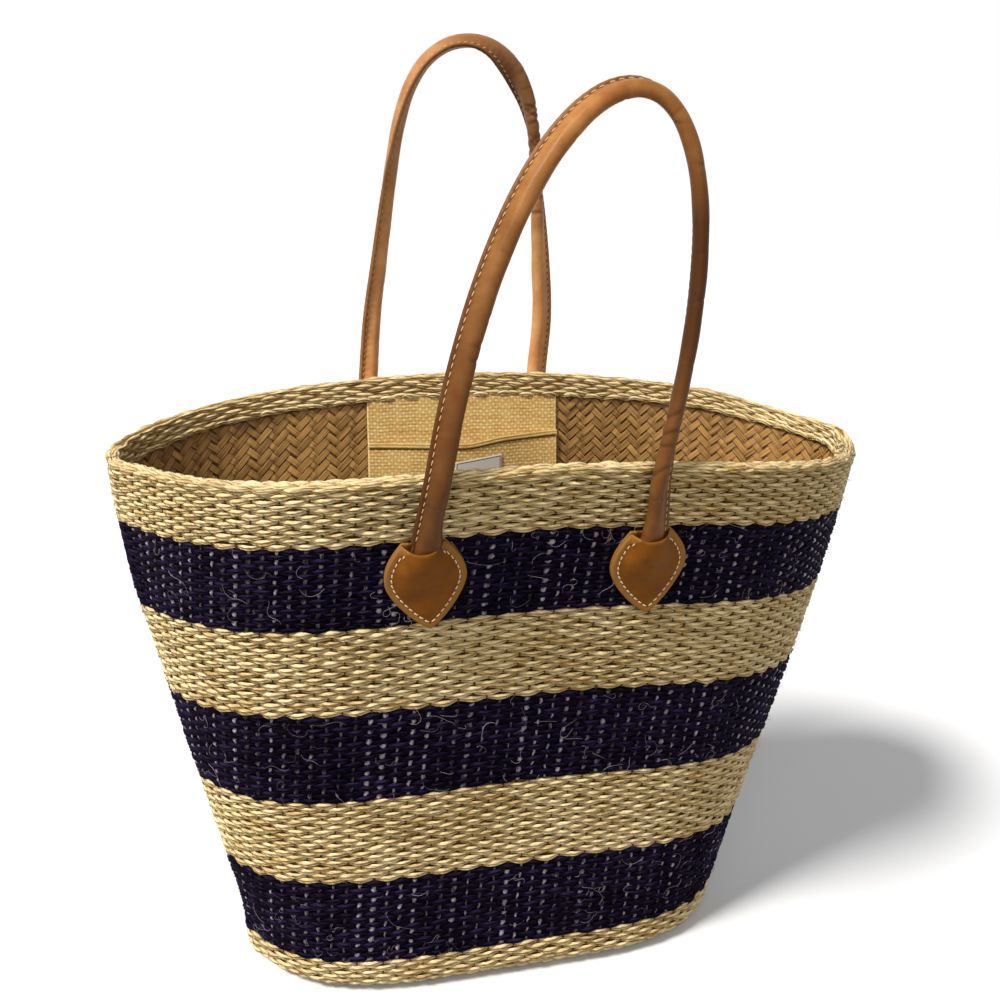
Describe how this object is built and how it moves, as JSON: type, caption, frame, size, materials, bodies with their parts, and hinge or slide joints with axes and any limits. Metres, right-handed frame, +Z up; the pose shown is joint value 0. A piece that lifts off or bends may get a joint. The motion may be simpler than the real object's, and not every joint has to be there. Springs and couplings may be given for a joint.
{
  "type": "straw tote bag",
  "caption": "Open-topped straw tote bag with woven cover, plaited liner, hanging cloth pocket and stitched leather handles that drop and lean.",
  "frame": {"origin": "middle of the flat base, on the surface that the bag stands on", "axes": "+Z up; +X to the right and -Y towards a viewer who faces the front wall"},
  "size_m": [0.4492, 0.2264, 0.5626],
  "materials": {
    "natural_straw": "undyed plant fibre in a plain weave, matt with a slight dry sheen",
    "navy_straw": "plant fibre dyed a very dark navy, matt, with pale warp showing in rows of dots",
    "palm_leaf": "flat palm leaf strips plaited on the bias, smooth and slightly glossy",
    "raffia_cloth": "fine open plain weave, dry and matt",
    "brown_leather": "smooth brown leather with a soft sheen and cream stitching",
    "tan_leather": "smooth warm tan leather, darker on the folds, with cream stitching",
    "cotton_cord": "soft filler cord inside the handles",
    "label_tape": "pale grey woven tape, bare"
  },
  "bodies": {
    "basket": {"natural_band_rim": "natural_straw", "navy_band_upper": "navy_straw", "natural_band_upper": "natural_straw", "navy_band_middle": "navy_straw", "natural_band_lower": "natural_straw", "navy_band_lower": "navy_straw", "natural_band_foot": "natural_straw", "woven_base": "natural_straw", "rim_turnover": "natural_straw", "liner_wall": "palm_leaf", "liner_base": "palm_leaf", "pocket_back_cloth": "raffia_cloth", "pocket_front_cloth": "raffia_cloth", "pocket_hem": "raffia_cloth", "blank_label": "label_tape", "front_left_tab_backing": "brown_leather", "front_left_tab_face": "brown_leather", "front_left_handle_end": "tan_leather", "front_right_tab_backing": "brown_leather", "front_right_tab_face": "brown_leather", "front_right_handle_end": "tan_leather", "back_left_tab_backing": "brown_leather", "back_left_tab_face": "brown_leather", "back_left_handle_end": "tan_leather", "back_right_tab_backing": "brown_leather", "back_right_tab_face": "brown_leather", "back_right_handle_end": "tan_leather"},
    "front_handle_legs": {"front_left_leg_skin": "tan_leather", "front_left_leg_core": "cotton_cord", "front_right_leg_skin": "tan_leather", "front_right_leg_core": "cotton_cord"},
    "front_handle_loop": {"front_loop_skin": "tan_leather", "front_loop_core": "cotton_cord"},
    "back_handle_legs": {"back_left_leg_skin": "tan_leather", "back_left_leg_core": "cotton_cord", "back_right_leg_skin": "tan_leather", "back_right_leg_core": "cotton_cord"},
    "back_handle_loop": {"back_loop_skin": "tan_leather", "back_loop_core": "cotton_cord"}
  },
  "joints": [
    {"name": "front_handle_drop", "type": "hinge", "parent": "basket", "child": "front_handle_legs", "pos_m": [-0.015, -0.12197, 0.31538], "axis": [1, 0, 0], "range_deg": [0, 150]},
    {"name": "front_handle_lean", "type": "hinge", "parent": "front_handle_legs", "child": "front_handle_loop", "pos_m": [-0.015, -0.12193, 0.37322], "axis": [-1, 0, 0], "range_deg": [0, 28]},
    {"name": "back_handle_drop", "type": "hinge", "parent": "basket", "child": "back_handle_legs", "pos_m": [-0.015, 0.09122, 0.3166], "axis": [-1, 0, 0], "range_deg": [0, 150]},
    {"name": "back_handle_lean", "type": "hinge", "parent": "back_handle_legs", "child": "back_handle_loop", "pos_m": [-0.015, 0.08755, 0.37389], "axis": [1, 0, 0], "range_deg": [0, 28]}
  ]
}
